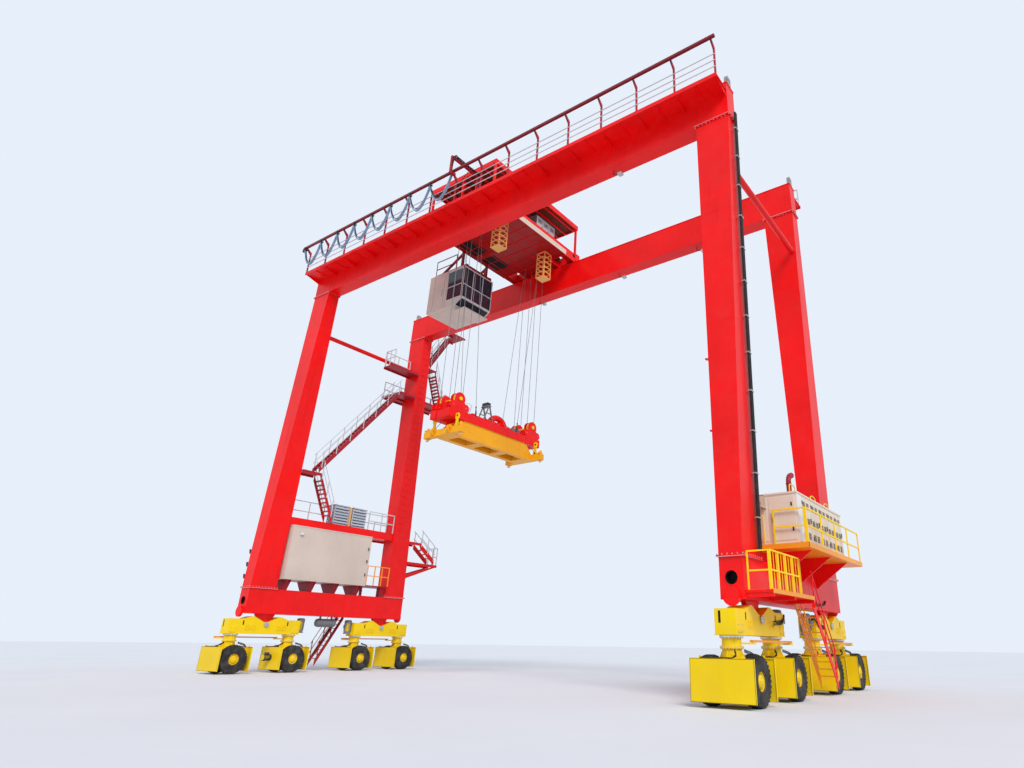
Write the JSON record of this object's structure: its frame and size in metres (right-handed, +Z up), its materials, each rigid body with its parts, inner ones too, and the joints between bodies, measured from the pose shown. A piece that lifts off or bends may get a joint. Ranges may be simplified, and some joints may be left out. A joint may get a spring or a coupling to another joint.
{
  "type": "rubber tyred gantry crane",
  "caption": "Container-yard gantry crane on rubber-tyred bogies: portal frame, travelling trolley with hanging cab, and a spreader on hoist ropes.",
  "frame": {"origin": "on the ground, midway between the two leg planes and midway between the two main girders", "axes": "+X along the main girders towards the power house, +Y along the gantry's travel towards the far girder, +Z up"},
  "size_m": [29.5522, 12.9, 25.66],
  "materials": {
    "red_paint": "gloss red paint",
    "maroon_paint": "dark red paint",
    "yellow_paint": "yellow paint",
    "orange_paint": "orange-yellow paint",
    "beige_paint": "beige paint",
    "grey_paint": "grey paint",
    "rail_steel": "worn rail steel",
    "tyre_rubber": "black tyre rubber",
    "cab_glass": "tinted glass",
    "cable_rubber": "black cable sheath",
    "festoon_rubber": "light blue flat cable"
  },
  "bodies": {
    "portal": {"near_girder": "red_paint", "far_girder": "red_paint", "near_right_leg": "red_paint", "far_right_leg": "red_paint", "near_left_leg": "red_paint", "far_left_leg": "red_paint", "right_sill": "red_paint", "left_sill": "red_paint", "left_cross_beam": "red_paint", "side_ties": "red_paint", "trolley_rails": "rail_steel", "girder_walkways": "red_paint", "festoon_track": "maroon_paint", "festoon_cable": "festoon_rubber", "electric_house": "beige_paint", "house_trestles": "red_paint", "resistor_bank": "grey_paint", "left_stairs": "maroon_paint", "power_house": "beige_paint", "power_deck": "red_paint", "guard_rails": "yellow_paint", "ground_stair": "orange_paint", "cable_bundle": "cable_rubber"},
    "trolley": {"trolley_frame": "red_paint", "trolley_wheels": "rail_steel", "hoist_machinery": "grey_paint", "machinery_roof": "red_paint", "access_cages": "yellow_paint", "cab_frame": "maroon_paint", "cab_shell": "beige_paint", "cab_glazing": "cab_glass", "hoist_ropes": "grey_paint"},
    "lifting_gear": {"headblock": "red_paint", "spreader": "orange_paint"},
    "near_sheave_pair": {"near_sheaves": "yellow_paint"},
    "far_sheave_pair": {"far_sheaves": "yellow_paint"},
    "near_right_bogie": {"near_right_equalizer": "yellow_paint"},
    "far_right_bogie": {"far_right_equalizer": "yellow_paint"},
    "near_left_bogie": {"near_left_equalizer": "yellow_paint"},
    "far_left_bogie": {"far_left_equalizer": "yellow_paint"},
    "steering_1": {"wheel_unit_1": "yellow_paint"},
    "wheelset_1": {"wheels_1": "tyre_rubber"},
    "steering_2": {"wheel_unit_2": "yellow_paint"},
    "wheelset_2": {"wheels_2": "tyre_rubber"},
    "steering_3": {"wheel_unit_3": "yellow_paint"},
    "wheelset_3": {"wheels_3": "tyre_rubber"},
    "steering_4": {"wheel_unit_4": "yellow_paint"},
    "wheelset_4": {"wheels_4": "tyre_rubber"},
    "steering_5": {"wheel_unit_5": "yellow_paint"},
    "wheelset_5": {"wheels_5": "tyre_rubber"},
    "steering_6": {"wheel_unit_6": "yellow_paint"},
    "wheelset_6": {"wheels_6": "tyre_rubber"},
    "steering_7": {"wheel_unit_7": "yellow_paint"},
    "wheelset_7": {"wheels_7": "tyre_rubber"},
    "steering_8": {"wheel_unit_8": "yellow_paint"},
    "wheelset_8": {"wheels_8": "tyre_rubber"},
    "near_right_steering_bar": {"near_right_tie_bar": "orange_paint"},
    "far_right_steering_bar": {"far_right_tie_bar": "orange_paint"},
    "near_left_steering_bar": {"near_left_tie_bar": "orange_paint"},
    "far_left_steering_bar": {"far_left_tie_bar": "orange_paint"}
  },
  "joints": [
    {"name": "trolley_travel", "type": "slide", "parent": "portal", "child": "trolley", "axis": [1, 0, 0], "range_m": [-8.2, 13], "deforming": ["festoon_cable"]},
    {"name": "hoist_lift", "type": "slide", "parent": "trolley", "child": "lifting_gear", "axis": [0, 0, 1], "range_m": [-9, 7.5], "deforming": ["hoist_ropes"]},
    {"name": "near_sheave_turn", "type": "hinge", "parent": "lifting_gear", "child": "near_sheave_pair", "pos_m": [-2, -2.7, 12.47], "axis": [1, 0, 0], "continuous": true},
    {"name": "far_sheave_turn", "type": "hinge", "parent": "lifting_gear", "child": "far_sheave_pair", "pos_m": [-2, 2.7, 12.47], "axis": [1, 0, 0], "continuous": true},
    {"name": "near_right_bogie_rock", "type": "hinge", "parent": "portal", "child": "near_right_bogie", "pos_m": [13.25, -3.53, 2.24], "axis": [1, 0, 0], "range_deg": [-3, 3]},
    {"name": "far_right_bogie_rock", "type": "hinge", "parent": "portal", "child": "far_right_bogie", "pos_m": [13.25, 3.53, 2.24], "axis": [1, 0, 0], "range_deg": [-3, 3]},
    {"name": "near_left_bogie_rock", "type": "hinge", "parent": "portal", "child": "near_left_bogie", "pos_m": [-13.25, -3.53, 2.24], "axis": [1, 0, 0], "range_deg": [-3, 3]},
    {"name": "far_left_bogie_rock", "type": "hinge", "parent": "portal", "child": "far_left_bogie", "pos_m": [-13.25, 3.53, 2.24], "axis": [1, 0, 0], "range_deg": [-3, 3]},
    {"name": "steer_1", "type": "hinge", "parent": "near_right_bogie", "child": "steering_1", "pos_m": [13.25, -5.04, 1.79], "axis": [0, 0, 1], "range_deg": [-90, 0]},
    {"name": "roll_1", "type": "hinge", "parent": "steering_1", "child": "wheelset_1", "pos_m": [13.25, -5.04, 0.645], "axis": [1, 0, 0], "continuous": true},
    {"name": "steer_2", "type": "hinge", "parent": "near_right_bogie", "child": "steering_2", "pos_m": [13.25, -2.02, 1.79], "axis": [0, 0, 1], "range_deg": [-90, 0]},
    {"name": "roll_2", "type": "hinge", "parent": "steering_2", "child": "wheelset_2", "pos_m": [13.25, -2.02, 0.645], "axis": [1, 0, 0], "continuous": true},
    {"name": "steer_3", "type": "hinge", "parent": "far_right_bogie", "child": "steering_3", "pos_m": [13.25, 2.02, 1.79], "axis": [0, 0, 1], "range_deg": [-90, 0]},
    {"name": "roll_3", "type": "hinge", "parent": "steering_3", "child": "wheelset_3", "pos_m": [13.25, 2.02, 0.645], "axis": [1, 0, 0], "continuous": true},
    {"name": "steer_4", "type": "hinge", "parent": "far_right_bogie", "child": "steering_4", "pos_m": [13.25, 5.04, 1.79], "axis": [0, 0, 1], "range_deg": [-90, 0]},
    {"name": "roll_4", "type": "hinge", "parent": "steering_4", "child": "wheelset_4", "pos_m": [13.25, 5.04, 0.645], "axis": [1, 0, 0], "continuous": true},
    {"name": "steer_5", "type": "hinge", "parent": "near_left_bogie", "child": "steering_5", "pos_m": [-13.25, -5.04, 1.79], "axis": [0, 0, 1], "range_deg": [-90, 0]},
    {"name": "roll_5", "type": "hinge", "parent": "steering_5", "child": "wheelset_5", "pos_m": [-13.25, -5.04, 0.645], "axis": [1, 0, 0], "continuous": true},
    {"name": "steer_6", "type": "hinge", "parent": "near_left_bogie", "child": "steering_6", "pos_m": [-13.25, -2.02, 1.79], "axis": [0, 0, 1], "range_deg": [-90, 0]},
    {"name": "roll_6", "type": "hinge", "parent": "steering_6", "child": "wheelset_6", "pos_m": [-13.25, -2.02, 0.645], "axis": [1, 0, 0], "continuous": true},
    {"name": "steer_7", "type": "hinge", "parent": "far_left_bogie", "child": "steering_7", "pos_m": [-13.25, 2.02, 1.79], "axis": [0, 0, 1], "range_deg": [-90, 0]},
    {"name": "roll_7", "type": "hinge", "parent": "steering_7", "child": "wheelset_7", "pos_m": [-13.25, 2.02, 0.645], "axis": [1, 0, 0], "continuous": true},
    {"name": "steer_8", "type": "hinge", "parent": "far_left_bogie", "child": "steering_8", "pos_m": [-13.25, 5.04, 1.79], "axis": [0, 0, 1], "range_deg": [-90, 0]},
    {"name": "roll_8", "type": "hinge", "parent": "steering_8", "child": "wheelset_8", "pos_m": [-13.25, 5.04, 0.645], "axis": [1, 0, 0], "continuous": true},
    {"name": "near_right_bar_swing", "type": "hinge", "parent": "steering_1", "child": "near_right_steering_bar", "pos_m": [13.69, -4.6, 1.61], "axis": [0, 0, 1], "range_deg": [0, 90]},
    {"name": "far_right_bar_swing", "type": "hinge", "parent": "steering_4", "child": "far_right_steering_bar", "pos_m": [13.69, 5.48, 1.61], "axis": [0, 0, 1], "range_deg": [0, 90]},
    {"name": "near_left_bar_swing", "type": "hinge", "parent": "steering_5", "child": "near_left_steering_bar", "pos_m": [-13.69, -5.48, 1.61], "axis": [0, 0, 1], "range_deg": [0, 90]},
    {"name": "far_left_bar_swing", "type": "hinge", "parent": "steering_8", "child": "far_left_steering_bar", "pos_m": [-13.69, 4.6, 1.61], "axis": [0, 0, 1], "range_deg": [0, 90]}
  ],
  "couplings": [
    {"joint": "steer_2", "follows": "steer_1", "ratio": 1},
    {"joint": "near_right_bar_swing", "follows": "steer_1", "ratio": -1},
    {"joint": "steer_3", "follows": "steer_4", "ratio": 1},
    {"joint": "far_right_bar_swing", "follows": "steer_4", "ratio": -1},
    {"joint": "steer_6", "follows": "steer_5", "ratio": 1},
    {"joint": "near_left_bar_swing", "follows": "steer_5", "ratio": -1},
    {"joint": "steer_7", "follows": "steer_8", "ratio": 1},
    {"joint": "far_left_bar_swing", "follows": "steer_8", "ratio": -1}
  ]
}
